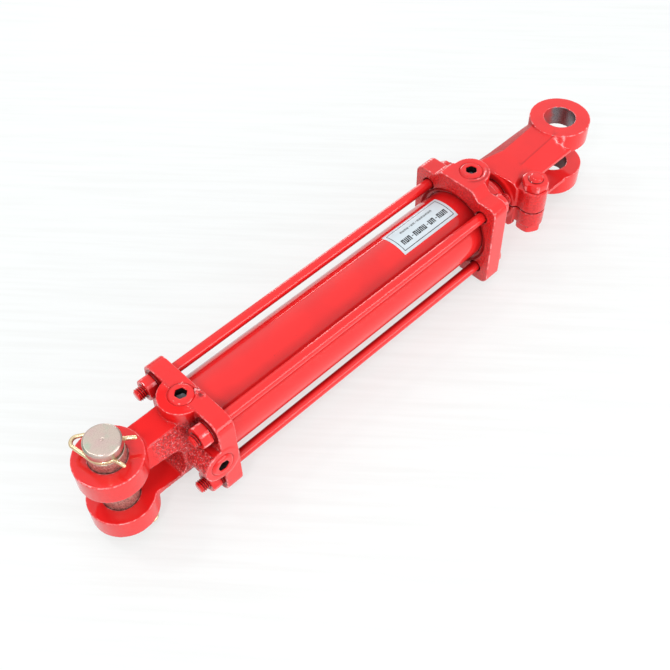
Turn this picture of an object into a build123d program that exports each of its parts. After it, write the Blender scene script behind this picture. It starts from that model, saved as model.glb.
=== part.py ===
from build123d import *

import math
import os

# Tie-rod hydraulic cylinder, retracted, in millimetres.
# Origin: centre of the base clevis pin hole.  +X runs along the cylinder towards
# the rod clevis, +Z runs up along the clevis pin, +Y is to the left.

# ---- driving dimensions ----
bore_diameter = 50.8
stroke = 203.2
pin_to_pin = 463.55
pin_diameter = 25.4
rod_diameter = 28.575

# Running and static clearances, all radial.
seal_clearance = 0.02
wear_clearance = 0.04
bearing_clearance = 0.08
static_clearance = 0.03
thread_clearance = 0.04

# Clevis ears, shared by both ends.
ear_gap = 28.6
ear_outer_z = 32.0
pin_hole_radius = 12.95

# Base cap casting.
base_ear_radius = 23.8
base_arm_top_z = 28.75
base_arm_top_half = 11.0
base_arm_rear_foot_half = 15.0
base_arm_front_foot_half = 20.0
base_throat_x = 42.0
base_throat_radius = 7.0
base_block_radius = 23.0
base_plate_back_x = 58.4
base_plate_front_x = 72.4
base_plate_half = 39.0
base_plate_corner = 9.0
base_washer_seat_x = 59.5
base_spot_face_radius = 10.3
base_top_boss_x = 60.6
base_top_boss_radius = 16.6
base_side_boss_x = 57.7
base_side_boss_radius = 14.2
base_side_boss_stand_out = 0.5
base_spigot_end_x = 81.0
base_seal_groove_x = 73.5
base_gallery_radius = 9.0
base_gallery_start_x = 53.0

# Tube, and the groove with its two rings in each end spigot.
tube_outer_radius = 29.2
tube_start_x = 70.4
tube_end_x = 336.5
spigot_gap = 0.1
seal_groove_depth = 2.15
seal_groove_width = 5.4
tube_o_ring_section = 1.1
tube_o_ring_offset = 1.9
backup_ring_width = 1.4
backup_ring_side_gap = 0.3

# Head casting.
head_back_x = 331.5
head_lug_front_x = 346.7
head_half = 40.0
head_corner = 7.0
head_recess_radius = 33.5
head_recess_depth = 2.5
head_recess_bevel = 2.0
head_boss_top_z = 46.5
head_boss_top_half = 16.0
head_boss_foot_half = 22.0
head_port_x = 349.0
head_boss_radius = 14.6
head_block_radius = 22.0
head_block_end_x = 370.0
head_nose_radius = 19.5
head_nose_end_x = 375.0
head_seal_groove_offset = 4.5

# Tie rods, and their 3/8 inch nuts and lock washers.
tie_rod_y = 27.2
tie_rod_z = 27.0
tie_rod_shank_radius = 4.2
tie_rod_thread_radius = 4.76
tie_rod_hole_radius = 5.1
tie_rod_start_x = 44.4
tie_rod_end_x = 361.5
tie_rod_thread_length = 24.0
tie_rod_chamfer = 1.2
nut_across_flats = 15.9
nut_height = 8.3
base_nut_turn = 5.4
head_nut_turn = 22.0
washer_outer_radius = 8.6
washer_thickness = 2.2
washer_split = 1.0

# Ports and their plugs: 3/8 inch pipe size, with an internal hexagon in the plug.
port_thread_radius = 8.55
port_mouth_radius = 9.7
port_depth = 13.0
port_drill_radius = 5.0
plug_stand_out = 1.2
plug_length = 11.0
plug_bevel = 1.1
plug_socket_flats = 8.0
plug_socket_depth = 7.0

# Piston.
end_gap = 1.0
piston_length = 24.0
piston_chamfer = 0.8
piston_nut_flats = 28.6
piston_nut_height = 10.0
piston_seal_offset = 3.0
piston_seal_width = 7.5
piston_seal_root = 20.5
wear_ring_offset = 13.5
wear_ring_width = 7.5
wear_ring_root = 23.2
ring_side_gap = 0.05
rod_stud_radius = 9.5
rod_stud_overhang = 0.8
rod_o_ring_offset = 7.0
rod_o_ring_section = 0.84
rod_o_ring_groove_depth = 1.7
rod_o_ring_groove_half = 1.2

# Gland.
gland_wall_gap = 0.05
bushing_radius = 16.5
bushing_length = 19.5
bushing_set_back = 0.2
rod_seal_start_x = 358.5
rod_seal_length = 7.0
rod_seal_radius = 18.8
rod_seal_lip = 1.2
rod_seal_cup_depth = 3.5
wiper_start_x = 368.0
wiper_radius = 17.5
wiper_lip_end_x = 376.2
wiper_lip_root = 1.6
wiper_lip_tip = 0.7
head_gallery_radius = 2.4
head_gallery_z = 19.7

# Rod clevis casting.
clevis_ear_radius = 25.0
clevis_rear_x = 380.7
clevis_body_start_x = 382.2
clevis_waist_x = 404.6
clevis_arm_end_x = 452.5
clevis_half_width = 22.8
clevis_side_half_height = 17.5
clevis_arm_top_half = 10.5
clevis_waist_top_z = 26.3
clevis_rear_top_half = 19.3
clevis_rear_top_z = 22.6
clevis_rear_half_width = 22.5
clevis_rear_side_half_height = 18.8
clevis_throat_x = 413.4
clevis_throat_radius = 8.0
clevis_facing_radius = 22.0
clevis_mouth_radius = 15.6
clevis_mouth_depth = 3.0
clevis_thread_end_x = 409.5
rod_thread_radius = 14.0
rod_thread_relief = 1.0
rod_end_chamfer = 1.5

# Clamp on the rod clevis.
clamp_x = 393.9
clamp_y = -30.6
clamp_radius = 11.1
clamp_top_z = 20.8
clamp_bottom_z = -15.7
clamp_edge_break = 1.0
clamp_facing_radius = 11.6
clamp_slit = 1.2
clamp_slit_end_x = 406.5
clamp_bolt_radius = 6.0
clamp_bolt_hole_radius = 6.3
clamp_bolt_end_z = 32.0
clamp_bolt_end_chamfer = 1.5
clamp_bolt_head_height = 6.2
clamp_nut_across_flats = 19.0
clamp_nut_height = 7.5
clamp_nut_turn = 20.0

# Base pin and its wire clips.
pin_top_z = 51.5
pin_bottom_z = -43.5
pin_chamfer = 1.2
clip_wire_radius = 1.4
clip_path_radius = 11.65
groove_root_radius = 10.15
groove_half_width = 1.55
upper_clip_z = 43.0
lower_clip_z = -35.5
clip_loop_radius = 4.2
clip_loop_distance = 17.6
clip_tip_angle = 42.0
clip_tip_reach = (18.2, 11.0)
upper_clip_heading = -56.5
lower_clip_heading = 118.0

# Label on the top of the tube.
label_start_x = 262.5
label_end_x = 322.0
label_half_angle = 24.5
label_gap = 0.01
label_thickness = 0.12

# ---- dimensions that follow ----
bore_radius = bore_diameter / 2
rod_radius = rod_diameter / 2
pin_radius = pin_diameter / 2
spigot_radius = bore_radius - spigot_gap
seal_groove_root = bore_radius - spigot_gap - seal_groove_depth
base_side_face_y = -base_plate_half - base_side_boss_stand_out
base_nut_seat_x = base_washer_seat_x - washer_thickness
rod_end_x = base_spigot_end_x + end_gap + rod_stud_overhang / 2
piston_nut_x = rod_end_x + rod_stud_overhang
piston_back_x = piston_nut_x + piston_nut_height
piston_front_x = piston_back_x + piston_length
head_spigot_start_x = piston_front_x + stroke + end_gap
piston_seal_x = piston_back_x + piston_seal_offset
wear_ring_x = piston_back_x + wear_ring_offset
rod_o_ring_x = piston_back_x + rod_o_ring_offset
rod_o_ring_groove_root = rod_stud_radius - rod_o_ring_groove_depth
rod_o_ring_path_radius = rod_o_ring_groove_root + rod_o_ring_section
rod_thread_start_x = clevis_body_start_x + clevis_mouth_depth
tie_rod_places = [(side * tie_rod_y, level * tie_rod_z) for level in (1, -1) for side in (1, -1)]

FROM_BASE = (Align.CENTER, Align.CENTER, Align.MIN)


# ---- building blocks ----
def x_cylinder(radius, start, end, y=0.0, z=0.0):
    """Round bar along X."""
    return Pos(start, y, z) * Rot(0, 90, 0) * Cylinder(radius, end - start, align=FROM_BASE)


def y_cylinder(radius, start, end, x=0.0, z=0.0):
    """Round bar along Y."""
    return Pos(x, start, z) * Rot(-90, 0, 0) * Cylinder(radius, end - start, align=FROM_BASE)


def z_cylinder(radius, start, end, x=0.0, y=0.0):
    """Round bar along Z."""
    return Pos(x, y, start) * Cylinder(radius, end - start, align=FROM_BASE)


def block(x_span, y_span, z_span):
    """Rectangular block between three pairs of limits."""
    spans = (x_span, y_span, z_span)
    centre = [(low + high) / 2 for low, high in spans]
    return Pos(*centre) * Box(*[high - low for low, high in spans])


def section_at(x, points):
    """Flat polygon in the plane X = x, from (y, z) corners."""
    corners = [(x, y, z) for y, z in points]
    return make_face(Polyline(*corners, close=True))


def prism_along_x(points, start, end):
    """Straight bar along X with a polygon cross-section."""
    return extrude(section_at(start, points), amount=end - start, dir=(1, 0, 0))


def turned_x(profile, y=0.0, z=0.0):
    """Solid turned about a line parallel to X, from (x, radius) corners."""
    face = make_face(Polyline(*[(x, radius, 0) for x, radius in profile], close=True))
    return Pos(0, y, z) * revolve(face, axis=Axis.X)


def turned_z(profile, x=0.0, y=0.0):
    """Solid turned about a line parallel to Z, from (radius, z) corners."""
    face = make_face(Polyline(*[(radius, 0, z) for radius, z in profile], close=True))
    return Pos(x, y, 0) * revolve(face, axis=Axis.Z)


def ring_x(inner, outer, start, end):
    """Plain ring about the cylinder's axis."""
    return x_cylinder(outer, start, end) - x_cylinder(inner, start - 1, end + 1)


def torus_x(path_radius, section_radius, x):
    """O-ring about the cylinder's axis."""
    return Pos(x, 0, 0) * Rot(0, 90, 0) * Torus(path_radius, section_radius)


def hexagon_bar(across_flats, height):
    """Hexagonal bar standing on the XY plane."""
    return extrude(RegularPolygon(across_flats / 2, 6, major_radius=False), amount=height)


def chamfered_hexagon(across_flats, height):
    """Hexagonal bar whose corners are turned off at both ends."""
    corner_radius = across_flats / math.sqrt(3)
    drop = (corner_radius - across_flats / 2) * math.tan(math.radians(30))
    envelope = turned_z(
        [
            (0, 0),
            (across_flats / 2, 0),
            (corner_radius, drop),
            (corner_radius, height - drop),
            (across_flats / 2, height),
            (0, height),
        ]
    )
    return hexagon_bar(across_flats, height) & envelope


def hex_nut(across_flats, height, hole_radius):
    """Hexagon nut standing on the XY plane, with its hole along Z."""
    return chamfered_hexagon(across_flats, height) - z_cylinder(hole_radius, -1, height + 1)


def square_plate(half, corner, start, end):
    """Square plate across the cylinder's axis, with rounded corners."""
    outline = Pos(start, 0, 0) * Rot(0, 90, 0) * RectangleRounded(2 * half, 2 * half, corner)
    return extrude(outline, amount=end - start, dir=(1, 0, 0))


def port_hole():
    """Threaded port with a bevelled mouth, opening upwards at the XY plane."""
    thread = port_thread_radius + thread_clearance
    bevel = port_mouth_radius - thread
    return turned_z(
        [
            (0, -port_depth),
            (thread, -port_depth),
            (thread, -bevel),
            (port_mouth_radius, 0),
            (port_mouth_radius, 1),
            (0, 1),
        ]
    )


def both_sides(shape):
    """The shape together with its mirror image in the XY plane."""
    return shape + mirror(shape, about=Plane.XY)


def throat_slot(throat_x, throat_radius, outside_x):
    """Gap between clevis ears, with a rounded end at throat_x."""
    slot = block(sorted((throat_x, outside_x)), (-60, 60), (-ear_gap / 2, ear_gap / 2))
    inner_edges = slot.edges().filter_by(Axis.Y).group_by(Axis.X)[0 if throat_x < outside_x else -1]
    return fillet(inner_edges, throat_radius)


# ---- castings and tube ----
def arm_section(x, foot_half):
    """Section of the base clevis arms' upper half: a flat top with sloping flanks."""
    upper = [
        (-foot_half, ear_gap / 2),
        (-base_arm_top_half, base_arm_top_z),
        (base_arm_top_half, base_arm_top_z),
        (foot_half, ear_gap / 2),
    ]
    return section_at(x, [(-foot_half, 0)] + upper + [(foot_half, 0)])


def base_cap():
    ear = z_cylinder(base_ear_radius, ear_gap / 2, ear_outer_z)
    arm = loft(
        [
            arm_section(0, base_arm_rear_foot_half),
            arm_section(base_plate_back_x + 1, base_arm_front_foot_half),
        ],
        ruled=True,
    )
    body = both_sides(ear + arm)
    body -= throat_slot(base_throat_x, base_throat_radius, -base_ear_radius - 5)
    body += x_cylinder(base_block_radius, base_throat_x + 3, base_plate_back_x + 1)
    body += z_cylinder(base_top_boss_radius, 0, base_plate_half, base_top_boss_x)
    body += y_cylinder(base_side_boss_radius, base_side_face_y, 0, base_side_boss_x)
    # The bosses stop at the plate's front face.
    body -= block((base_plate_front_x, 100), (-60, 60), (-60, 60))
    body += square_plate(base_plate_half, base_plate_corner, base_plate_back_x, base_plate_front_x)
    for y, z in tie_rod_places:
        body -= x_cylinder(base_spot_face_radius, base_plate_back_x - 10, base_washer_seat_x, y, z)
        body -= x_cylinder(tie_rod_hole_radius, base_plate_back_x - 10, base_plate_front_x + 1, y, z)
    # Seat for the tube, and the spigot that carries the tube's O-ring.
    body -= x_cylinder(tube_outer_radius + static_clearance, tube_start_x, base_plate_front_x + 1)
    body += x_cylinder(spigot_radius, tube_start_x - 1, base_spigot_end_x)
    body -= tube_seal_groove(base_seal_groove_x)
    # Oil gallery, fed by the two ports.
    body -= x_cylinder(base_gallery_radius, base_gallery_start_x, base_spigot_end_x + 1)
    body -= Pos(base_top_boss_x, 0, base_plate_half) * port_hole()
    body -= z_cylinder(port_drill_radius, 0, base_plate_half, base_top_boss_x)
    body -= Pos(base_side_boss_x, base_side_face_y, 0) * Rot(90, 0, 0) * port_hole()
    body -= y_cylinder(port_drill_radius, base_side_face_y, 0, base_side_boss_x)
    body -= z_cylinder(pin_hole_radius, -ear_outer_z - 1, ear_outer_z + 1)
    return body


def tube_seal_groove(start_x):
    """Groove in an end spigot for the tube's O-ring and backup ring."""
    return ring_x(seal_groove_root, spigot_radius + 1, start_x, start_x + seal_groove_width)


def tube_seals(start_x):
    """O-ring and backup ring that sit in the groove starting at start_x."""
    path_radius = seal_groove_root + tube_o_ring_section + static_clearance
    o_ring = torus_x(path_radius, tube_o_ring_section, start_x + tube_o_ring_offset)
    backup_end = start_x + seal_groove_width - backup_ring_side_gap
    backup = ring_x(
        seal_groove_root + static_clearance,
        bore_radius - static_clearance,
        backup_end - backup_ring_width,
        backup_end,
    )
    return o_ring, backup


def tube():
    return ring_x(bore_radius, tube_outer_radius, tube_start_x, tube_end_x)


def head():
    body = square_plate(head_half, head_corner, head_back_x, head_lug_front_x)
    body += x_cylinder(head_block_radius, head_back_x, head_block_end_x)
    body += x_cylinder(head_nose_radius, head_back_x, head_nose_end_x)
    ridge_section = [
        (-head_boss_foot_half, 0),
        (-head_boss_foot_half, head_half),
        (-head_boss_top_half, head_boss_top_z),
        (head_boss_top_half, head_boss_top_z),
        (head_boss_foot_half, head_half),
        (head_boss_foot_half, 0),
    ]
    body += prism_along_x(ridge_section, head_back_x, head_lug_front_x)
    body += z_cylinder(head_boss_radius, 0, head_boss_top_z, head_port_x)
    body -= turned_x(
        [
            (head_back_x - 1, 0),
            (head_back_x - 1, head_recess_radius),
            (head_back_x, head_recess_radius),
            (head_back_x + head_recess_depth, head_recess_radius - head_recess_bevel),
            (head_back_x + head_recess_depth, tube_outer_radius + static_clearance),
            (tube_end_x, tube_outer_radius + static_clearance),
            (tube_end_x, 0),
        ]
    )
    for y, z in tie_rod_places:
        body -= x_cylinder(tie_rod_hole_radius, head_back_x - 1, head_lug_front_x + 1, y, z)
    body += x_cylinder(spigot_radius, head_spigot_start_x, tube_end_x + 1)
    body -= tube_seal_groove(head_spigot_start_x + head_seal_groove_offset)
    body -= x_cylinder(rod_radius + bearing_clearance, head_spigot_start_x - 1, head_nose_end_x + 1)
    bushing_end_x = head_spigot_start_x + bushing_length
    body -= x_cylinder(bushing_radius, head_spigot_start_x - 1, bushing_end_x)
    body -= x_cylinder(rod_seal_radius, rod_seal_start_x, rod_seal_start_x + rod_seal_length)
    body -= x_cylinder(wiper_radius, wiper_start_x, head_nose_end_x + 1)
    # Oil gallery from the port to the annulus behind the piston.
    body -= Pos(head_port_x, 0, head_boss_top_z) * port_hole()
    body -= z_cylinder(port_drill_radius, head_gallery_z - head_gallery_radius, head_half, head_port_x)
    body -= x_cylinder(head_gallery_radius, head_spigot_start_x - 1, head_port_x, 0, head_gallery_z)
    return body


# ---- tie rods, nuts and plugs ----
def tie_rod(y, z):
    tip_radius = tie_rod_thread_radius - tie_rod_chamfer
    base_thread_end = tie_rod_start_x + tie_rod_thread_length
    head_thread_start = tie_rod_end_x - tie_rod_thread_length
    return turned_x(
        [
            (tie_rod_start_x, 0),
            (tie_rod_start_x, tip_radius),
            (tie_rod_start_x + tie_rod_chamfer, tie_rod_thread_radius),
            (base_thread_end, tie_rod_thread_radius),
            (base_thread_end, tie_rod_shank_radius),
            (head_thread_start, tie_rod_shank_radius),
            (head_thread_start, tie_rod_thread_radius),
            (tie_rod_end_x - tie_rod_chamfer, tie_rod_thread_radius),
            (tie_rod_end_x, tip_radius),
            (tie_rod_end_x, 0),
        ],
        y,
        z,
    )


def tie_rod_nuts(seat_x, direction, turn):
    """Four nuts on one end; direction is +1 when they stand towards the rod end."""
    nut = hex_nut(nut_across_flats, nut_height, tie_rod_thread_radius + thread_clearance)
    return Compound(
        children=[
            (Pos(seat_x, y, z) * Rot(0, 90 * direction, 0) * Rot(0, 0, turn)) * nut
            for y, z in tie_rod_places
        ]
    )


def lock_washer():
    """Split ring standing on the XY plane."""
    ring = z_cylinder(washer_outer_radius, 0, washer_thickness)
    ring -= z_cylinder(tie_rod_hole_radius, -1, washer_thickness + 1)
    return ring - block((0, washer_outer_radius + 1), (0, washer_split), (-1, washer_thickness + 1))


def base_washers():
    """Four lock washers between the base nuts and the base casting."""
    return Compound(
        children=[Pos(base_nut_seat_x, y, z) * Rot(0, 90, 0) * lock_washer() for y, z in tie_rod_places]
    )


def port_plug():
    """Pipe plug with an internal hexagon, screwed into a port that opens at the XY plane."""
    top = plug_stand_out
    bottom = top - plug_length
    body = turned_z(
        [
            (0, bottom),
            (port_thread_radius - plug_bevel, bottom),
            (port_thread_radius, bottom + plug_bevel),
            (port_thread_radius, top - plug_bevel),
            (port_thread_radius - plug_bevel, top),
            (0, top),
        ]
    )
    socket = hexagon_bar(plug_socket_flats, plug_socket_depth + 1)
    return body - Pos(0, 0, top - plug_socket_depth) * socket


port_places = {
    "base_top_port_plug": Pos(base_top_boss_x, 0, base_plate_half),
    "base_side_port_plug": Pos(base_side_boss_x, base_side_face_y, 0) * Rot(90, 0, 0),
    "head_port_plug": Pos(head_port_x, 0, head_boss_top_z),
}


# ---- rod, piston and gland parts ----
def piston_rod():
    front_x = clevis_thread_end_x - 0.5
    shoulder_x = rod_thread_start_x - rod_thread_relief
    groove_start = rod_o_ring_x - rod_o_ring_groove_half
    groove_end = rod_o_ring_x + rod_o_ring_groove_half
    return turned_x(
        [
            (rod_end_x, 0),
            (rod_end_x, rod_stud_radius - 1),
            (rod_end_x + 1, rod_stud_radius),
            (groove_start, rod_stud_radius),
            (groove_start, rod_o_ring_groove_root),
            (groove_end, rod_o_ring_groove_root),
            (groove_end, rod_stud_radius),
            (piston_front_x, rod_stud_radius),
            (piston_front_x, rod_radius),
            (shoulder_x, rod_radius),
            (shoulder_x, rod_thread_radius),
            (front_x - rod_end_chamfer, rod_thread_radius),
            (front_x, rod_thread_radius - rod_end_chamfer),
            (front_x, 0),
        ]
    )


def piston():
    radius = bore_radius - bearing_clearance
    body = turned_x(
        [
            (piston_back_x, 0),
            (piston_back_x, radius - piston_chamfer),
            (piston_back_x + piston_chamfer, radius),
            (piston_front_x - piston_chamfer, radius),
            (piston_front_x, radius - piston_chamfer),
            (piston_front_x, 0),
        ]
    )
    body -= x_cylinder(rod_stud_radius + static_clearance, piston_back_x - 1, piston_front_x + 1)
    body -= ring_x(piston_seal_root, radius + 1, piston_seal_x, piston_seal_x + piston_seal_width)
    body -= ring_x(wear_ring_root, radius + 1, wear_ring_x, wear_ring_x + wear_ring_width)
    return body


def piston_ring(root, start, width, clearance):
    """Ring that floats in a piston groove and runs on the bore."""
    inner = root + ring_side_gap
    return ring_x(inner, bore_radius - clearance, start + ring_side_gap, start + width - ring_side_gap)


def piston_nut():
    nut = hex_nut(piston_nut_flats, piston_nut_height, rod_stud_radius + thread_clearance)
    return Pos(piston_nut_x, 0, 0) * Rot(0, 90, 0) * nut


def rod_bushing():
    start = head_spigot_start_x + bushing_set_back
    end = head_spigot_start_x + bushing_length
    return ring_x(rod_radius + wear_clearance, bushing_radius - static_clearance, start, end)


def rod_seal():
    """U-shaped rod seal with its open side towards the piston."""
    inner = rod_radius + seal_clearance
    outer = rod_seal_radius - gland_wall_gap
    start = rod_seal_start_x + gland_wall_gap
    end = rod_seal_start_x + rod_seal_length - gland_wall_gap
    middle = (inner + outer) / 2
    return turned_x(
        [
            (start, inner),
            (end, inner),
            (end, outer),
            (start, outer),
            (start, outer - rod_seal_lip),
            (start + rod_seal_cup_depth, middle),
            (start, inner + rod_seal_lip),
        ]
    )


def rod_wiper():
    """Wiper ring with a lip that stands out of the gland nose."""
    inner = rod_radius + seal_clearance
    outer = wiper_radius - gland_wall_gap
    start = wiper_start_x + gland_wall_gap
    return turned_x(
        [
            (start, inner),
            (start, outer),
            (head_nose_end_x, outer),
            (head_nose_end_x, inner + wiper_lip_root),
            (wiper_lip_end_x, inner + wiper_lip_tip),
            (wiper_lip_end_x, inner),
        ]
    )


# ---- rod clevis and its clamp ----
def eight_sided(top_half, top_z, side_half, side_z):
    """Corners of an upright eight-sided section, symmetric both ways."""
    upper = [(-side_half, side_z), (-top_half, top_z), (top_half, top_z), (side_half, side_z)]
    return upper + [(y, -z) for y, z in reversed(upper)]


def rod_clevis():
    side = (clevis_half_width, clevis_side_half_height)
    rear_side = (clevis_rear_half_width, clevis_rear_side_half_height)
    rear_corners = eight_sided(clevis_rear_top_half, clevis_rear_top_z, *rear_side)
    rear = section_at(clevis_body_start_x, rear_corners)
    waist = section_at(clevis_waist_x, eight_sided(clevis_arm_top_half, clevis_waist_top_z, *side))
    front = section_at(clevis_arm_end_x, eight_sided(clevis_arm_top_half, ear_outer_z, *side))
    body = loft([rear, waist], ruled=True) + loft([waist, front], ruled=True)
    body += z_cylinder(clevis_ear_radius, -ear_outer_z, ear_outer_z, pin_to_pin)
    body -= throat_slot(clevis_throat_x, clevis_throat_radius, pin_to_pin + clevis_ear_radius + 5)
    # Turned facing on the rear.
    body += turned_x(
        [
            (clevis_rear_x, 0),
            (clevis_rear_x, clevis_facing_radius - 1.0),
            (clevis_rear_x + 1.0, clevis_facing_radius),
            (clevis_body_start_x + 1, clevis_facing_radius),
            (clevis_body_start_x + 1, 0),
        ]
    )
    # Clamp boss beside the threaded hole.
    boss = turned_z(
        [
            (0, clamp_bottom_z),
            (clamp_radius - clamp_edge_break, clamp_bottom_z),
            (clamp_radius, clamp_bottom_z + clamp_edge_break),
            (clamp_radius, clamp_top_z - clamp_edge_break),
            (clamp_radius - clamp_edge_break, clamp_top_z),
            (0, clamp_top_z),
        ],
        clamp_x,
        clamp_y,
    )
    web_half = clamp_radius - clamp_edge_break
    web = block(
        (clamp_x - web_half, clamp_x + web_half),
        (clamp_y, 0),
        (clamp_bottom_z + clamp_edge_break, clamp_top_z - clamp_edge_break),
    )
    body += boss + web
    # Spot faces under the nut and the bolt's head.
    body -= z_cylinder(clamp_facing_radius, clamp_top_z, ear_outer_z, clamp_x, clamp_y)
    body -= z_cylinder(clamp_facing_radius, -ear_outer_z, clamp_bottom_z, clamp_x, clamp_y)
    body -= x_cylinder(clevis_mouth_radius, clevis_rear_x - 1, clevis_rear_x + clevis_mouth_depth)
    body -= x_cylinder(rod_radius + static_clearance, clevis_rear_x, clevis_thread_end_x)
    body -= block(
        (clevis_rear_x - 1, clamp_slit_end_x),
        (clamp_y - clamp_radius - 1, 0),
        (-clamp_slit / 2, clamp_slit / 2),
    )
    body -= z_cylinder(clamp_bolt_hole_radius, clamp_bottom_z - 1, clamp_top_z + 1, clamp_x, clamp_y)
    body -= z_cylinder(pin_hole_radius, -ear_outer_z - 1, ear_outer_z + 1, pin_to_pin)
    return body


def clamp_bolt():
    shank = turned_z(
        [
            (0, clamp_bottom_z),
            (clamp_bolt_radius, clamp_bottom_z),
            (clamp_bolt_radius, clamp_bolt_end_z - clamp_bolt_end_chamfer),
            (clamp_bolt_radius - clamp_bolt_end_chamfer, clamp_bolt_end_z),
            (0, clamp_bolt_end_z),
        ]
    )
    bolt_head = chamfered_hexagon(clamp_nut_across_flats, clamp_bolt_head_height)
    bolt = shank + Pos(0, 0, clamp_bottom_z - clamp_bolt_head_height) * bolt_head
    return Pos(clamp_x, clamp_y, 0) * bolt


def clamp_nut():
    nut = hex_nut(clamp_nut_across_flats, clamp_nut_height, clamp_bolt_radius + thread_clearance)
    return Pos(clamp_x, clamp_y, clamp_top_z) * Rot(0, 0, clamp_nut_turn) * nut


# ---- pin, clips and label ----
def base_pin():
    body = turned_z(
        [
            (0, pin_bottom_z),
            (pin_radius - pin_chamfer, pin_bottom_z),
            (pin_radius, pin_bottom_z + pin_chamfer),
            (pin_radius, pin_top_z - pin_chamfer),
            (pin_radius - pin_chamfer, pin_top_z),
            (0, pin_top_z),
        ]
    )
    for z in (upper_clip_z, lower_clip_z):
        low = z - groove_half_width
        high = z + groove_half_width
        body -= z_cylinder(pin_radius + 1, low, high) - z_cylinder(groove_root_radius, low, high)
    return body


def clip_centre_line():
    """Edges of a wire clip: a loop, two legs round the pin, and two bent tips."""
    # The legs are the outer tangents of the loop circle and the circle round the pin.
    lean = math.asin((clip_path_radius - clip_loop_radius) / clip_loop_distance)
    tangent = math.radians(90) + lean
    tip = math.radians(clip_tip_angle)
    reach, spread = clip_tip_reach

    def on_pin(angle, side):
        return (clip_path_radius * math.cos(angle), side * clip_path_radius * math.sin(angle))

    def on_loop(angle, side):
        x = clip_loop_radius * math.cos(angle) - clip_loop_distance
        return (x, side * clip_loop_radius * math.sin(angle))

    edges = [ThreePointArc(on_loop(tangent, 1), on_loop(math.pi, 1), on_loop(tangent, -1))]
    for side in (1, -1):
        edges.append(Line(on_loop(tangent, side), on_pin(tangent, side)))
        arc_middle = on_pin((tip + tangent) / 2, side)
        edges.append(ThreePointArc(on_pin(tangent, side), arc_middle, on_pin(tip, side)))
        edges.append(Line(on_pin(tip, side), (reach, side * spread)))
    return edges


def pin_clip(z, heading):
    """Round wire bent along the clip's centre line."""
    wire = Part()
    for edge in clip_centre_line():
        start = Plane(origin=edge @ 0, z_dir=edge % 0)
        wire += sweep(start * Circle(clip_wire_radius), path=edge)
    tip = math.radians(clip_tip_angle)
    for side in (1, -1):
        bend = (clip_path_radius * math.cos(tip), side * clip_path_radius * math.sin(tip), 0)
        wire += Pos(*bend) * Sphere(clip_wire_radius)
    return Pos(0, 0, z) * Rot(0, 0, heading) * wire


def label():
    """Thin sticker wrapped over the top of the tube."""
    inner = tube_outer_radius + label_gap
    sheet = ring_x(inner, inner + label_thickness, label_start_x, label_end_x)
    reach = 2 * tube_outer_radius
    side = reach * math.tan(math.radians(label_half_angle))
    wedge = prism_along_x([(0, 0), (side, reach), (-side, reach)], label_start_x - 1, label_end_x + 1)
    return sheet & wedge


# ---- the assembly ----
base_o_ring, base_backup_ring = tube_seals(base_seal_groove_x)
head_o_ring, head_backup_ring = tube_seals(head_spigot_start_x + head_seal_groove_offset)

nodes = {
    "base_cap": base_cap(),
    "tube": tube(),
    "head": head(),
    "tie_rod_upper_left": tie_rod(*tie_rod_places[0]),
    "tie_rod_upper_right": tie_rod(*tie_rod_places[1]),
    "tie_rod_lower_left": tie_rod(*tie_rod_places[2]),
    "tie_rod_lower_right": tie_rod(*tie_rod_places[3]),
    "base_tie_rod_nuts": tie_rod_nuts(base_nut_seat_x, -1, base_nut_turn),
    "base_lock_washers": base_washers(),
    "head_tie_rod_nuts": tie_rod_nuts(head_lug_front_x, 1, head_nut_turn),
    "base_tube_o_ring": base_o_ring,
    "base_tube_backup_ring": base_backup_ring,
    "head_tube_o_ring": head_o_ring,
    "head_tube_backup_ring": head_backup_ring,
    "rod_bushing": rod_bushing(),
    "rod_seal": rod_seal(),
    "rod_wiper": rod_wiper(),
    "piston_rod": piston_rod(),
    "piston": piston(),
    "piston_seal": piston_ring(piston_seal_root, piston_seal_x, piston_seal_width, seal_clearance),
    "piston_wear_ring": piston_ring(wear_ring_root, wear_ring_x, wear_ring_width, wear_clearance),
    "piston_o_ring": torus_x(rod_o_ring_path_radius, rod_o_ring_section, rod_o_ring_x),
    "piston_nut": piston_nut(),
    "rod_clevis": rod_clevis(),
    "clamp_bolt": clamp_bolt(),
    "clamp_nut": clamp_nut(),
    "base_pin": base_pin(),
    "upper_pin_clip": pin_clip(upper_clip_z, upper_clip_heading),
    "lower_pin_clip": pin_clip(lower_clip_z, lower_clip_heading),
    "label": label(),
}
for name, place in port_places.items():
    nodes[name] = place * port_plug()

os.makedirs("parts", exist_ok=True)
for name, shape in nodes.items():
    export_step(shape, f"parts/{name}.step")
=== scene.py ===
import math

import bmesh
import bpy
import numpy as np
from mathutils import Matrix, Vector


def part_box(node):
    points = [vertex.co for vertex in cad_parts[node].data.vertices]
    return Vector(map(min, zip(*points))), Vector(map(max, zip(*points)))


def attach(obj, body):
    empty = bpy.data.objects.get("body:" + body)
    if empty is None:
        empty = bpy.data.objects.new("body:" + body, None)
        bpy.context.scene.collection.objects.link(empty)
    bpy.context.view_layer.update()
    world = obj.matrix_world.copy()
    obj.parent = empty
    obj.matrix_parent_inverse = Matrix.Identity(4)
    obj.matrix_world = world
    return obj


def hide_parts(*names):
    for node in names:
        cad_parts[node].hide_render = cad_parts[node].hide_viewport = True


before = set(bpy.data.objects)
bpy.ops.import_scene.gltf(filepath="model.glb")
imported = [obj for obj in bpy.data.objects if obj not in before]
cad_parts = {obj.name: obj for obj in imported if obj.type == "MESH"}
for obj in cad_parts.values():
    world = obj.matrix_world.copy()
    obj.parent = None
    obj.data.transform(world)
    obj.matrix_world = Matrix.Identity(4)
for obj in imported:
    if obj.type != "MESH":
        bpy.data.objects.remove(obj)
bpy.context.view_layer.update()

MM = 0.001
TURN = 2 * math.pi


def mm(value):
    """Millimetres to scene units."""
    return value * MM


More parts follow.
